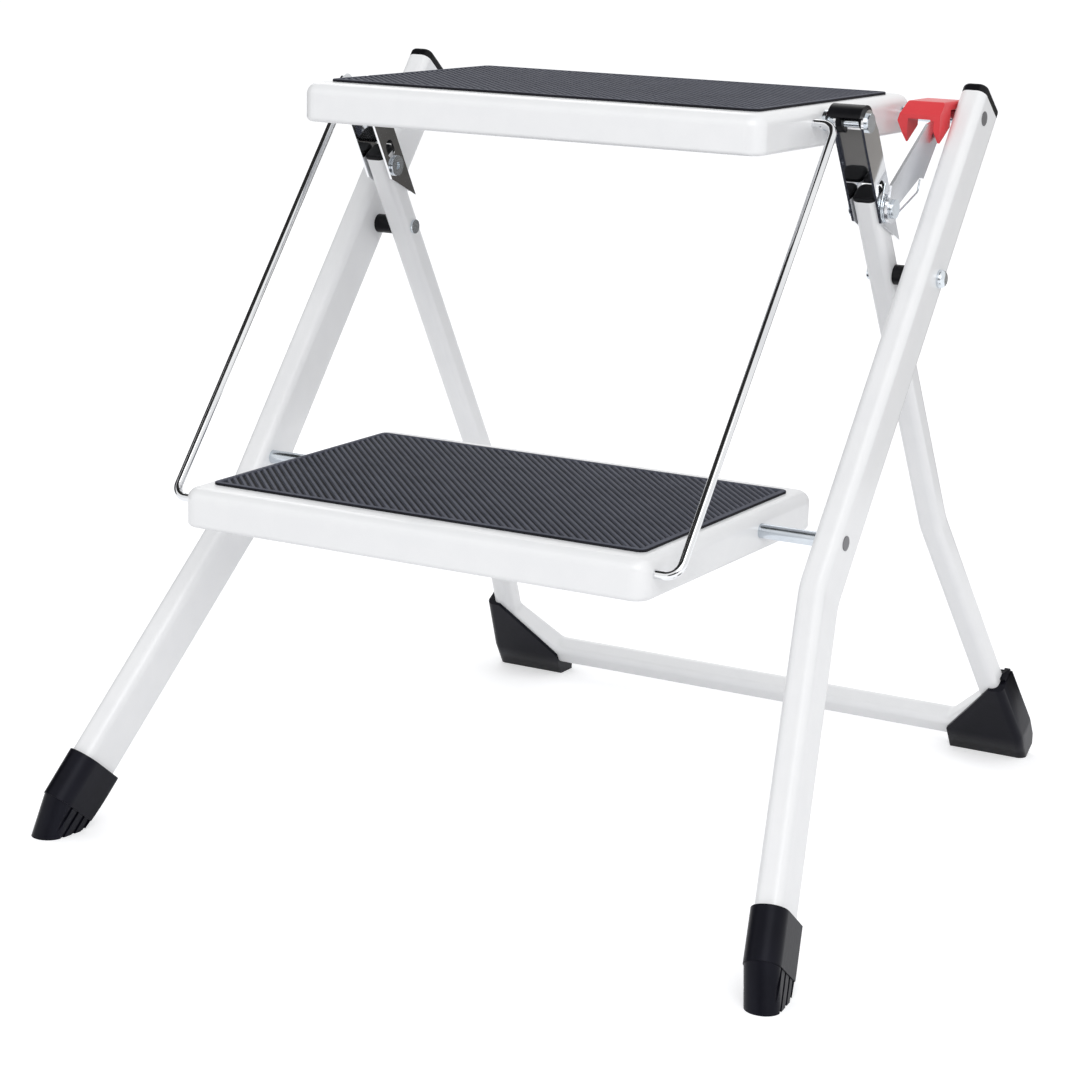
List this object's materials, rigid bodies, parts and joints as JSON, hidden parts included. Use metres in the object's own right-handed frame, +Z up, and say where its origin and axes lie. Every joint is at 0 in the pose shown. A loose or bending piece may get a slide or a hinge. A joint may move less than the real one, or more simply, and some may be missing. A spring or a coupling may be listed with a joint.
{
  "type": "folding step stool",
  "caption": "Folding step stool of white steel tube and pressed pans with ribbed rubber mats, chromed toggle brackets, wire struts and a sprung red catch",
  "frame": {"origin": "On the floor, midway between the toes and the heels and midway between the legs", "axes": "+X to the right of a person who faces the steps, +Y to the rear, +Z up; the front is at -Y"},
  "size_m": [0.4936, 0.5062, 0.4569],
  "materials": {
    "white_paint": "satin powder coat",
    "chrome": "bright chrome plate",
    "zinc": "bright zinc plate",
    "red_plastic": "glossy moulding",
    "black_plastic": "satin moulding",
    "black_rubber": "matt rubber",
    "mat_rubber": "matt ribbed rubber"
  },
  "bodies": {
    "front_frame": {"front_leg_left": "white_paint", "front_leg_right": "white_paint", "front_leg_cap_left": "black_plastic", "front_leg_cap_right": "black_plastic", "front_foot_left": "black_rubber", "front_foot_right": "black_rubber", "pivot_rivet_left": "zinc", "pivot_rivet_right": "zinc", "pivot_spacer_left": "black_plastic", "pivot_spacer_right": "black_plastic", "upper_rod": "zinc", "lower_rod": "zinc"},
    "rear_frame": {"rear_frame": "white_paint", "rear_foot_left": "black_rubber", "rear_foot_right": "black_rubber", "rear_plug_left": "black_plastic", "rear_plug_right": "black_plastic", "link_rivet_left": "zinc", "link_rivet_right": "zinc", "catch_bush": "zinc"},
    "top_step": {"top_step_pan": "white_paint", "top_step_mat": "mat_rubber", "hinge_washers": "zinc"},
    "lower_step": {"lower_step_pan": "white_paint", "lower_step_mat": "mat_rubber"},
    "bracket_left": {"toggle_bracket_left": "chrome", "hinge_pin_left": "zinc"},
    "bracket_right": {"toggle_bracket_right": "chrome", "hinge_pin_right": "zinc", "hinge_cap": "black_plastic"},
    "strut_left": {"strut_left": "chrome", "strut_clips_left": "zinc"},
    "strut_right": {"strut_right": "chrome", "strut_clips_right": "zinc"},
    "catch": {"catch_lever": "chrome", "catch_spring": "zinc", "catch_hook": "red_plastic"}
  },
  "joints": [
    {"name": "top_step_fold", "type": "hinge", "parent": "front_frame", "child": "top_step", "pos_m": [0, 0.09181, 0.43679], "axis": [1, 0, 0], "range_deg": [0, 48.23]},
    {"name": "rear_fold", "type": "hinge", "parent": "front_frame", "child": "rear_frame", "pos_m": [0, 0.03474, 0.3475], "axis": [-1, 0, 0], "range_deg": [0, 68.4]},
    {"name": "lower_step_fold", "type": "hinge", "parent": "front_frame", "child": "lower_step", "pos_m": [0, -0.08365, 0.21221], "axis": [1, 0, 0], "range_deg": [0, 48.23]},
    {"name": "strut_left_pivot", "type": "hinge", "parent": "top_step", "child": "strut_left", "pos_m": [-0.15, -0.03918, 0.43859], "axis": [1, 0, 0], "range_deg": [-48.23, 0]},
    {"name": "bracket_left_pivot", "type": "hinge", "parent": "rear_frame", "child": "bracket_left", "pos_m": [-0.167, 0.00926, 0.38876], "axis": [1, 0, 0], "range_deg": [0, 160.1]},
    {"name": "strut_right_pivot", "type": "hinge", "parent": "top_step", "child": "strut_right", "pos_m": [0.15, -0.03918, 0.43859], "axis": [1, 0, 0], "range_deg": [-48.23, 0]},
    {"name": "bracket_right_pivot", "type": "hinge", "parent": "rear_frame", "child": "bracket_right", "pos_m": [0.167, 0.00926, 0.38876], "axis": [1, 0, 0], "range_deg": [0, 160.1]},
    {"name": "catch_pivot", "type": "hinge", "parent": "rear_frame", "child": "catch", "pos_m": [0.182, 0.00926, 0.38876], "axis": [1, 0, 0], "range_deg": [0, 129]}
  ],
  "couplings": [
    {"joint": "rear_fold", "follows": "top_step_fold", "ratio": 1.4182},
    {"joint": "lower_step_fold", "follows": "top_step_fold", "ratio": 1},
    {"joint": "strut_left_pivot", "follows": "top_step_fold", "ratio": -1},
    {"joint": "bracket_left_pivot", "follows": "top_step_fold", "ratio": 3.3196},
    {"joint": "strut_right_pivot", "follows": "top_step_fold", "ratio": -1},
    {"joint": "bracket_right_pivot", "follows": "top_step_fold", "ratio": 3.3196},
    {"joint": "catch_pivot", "follows": "top_step_fold", "ratio": 2.6747}
  ]
}
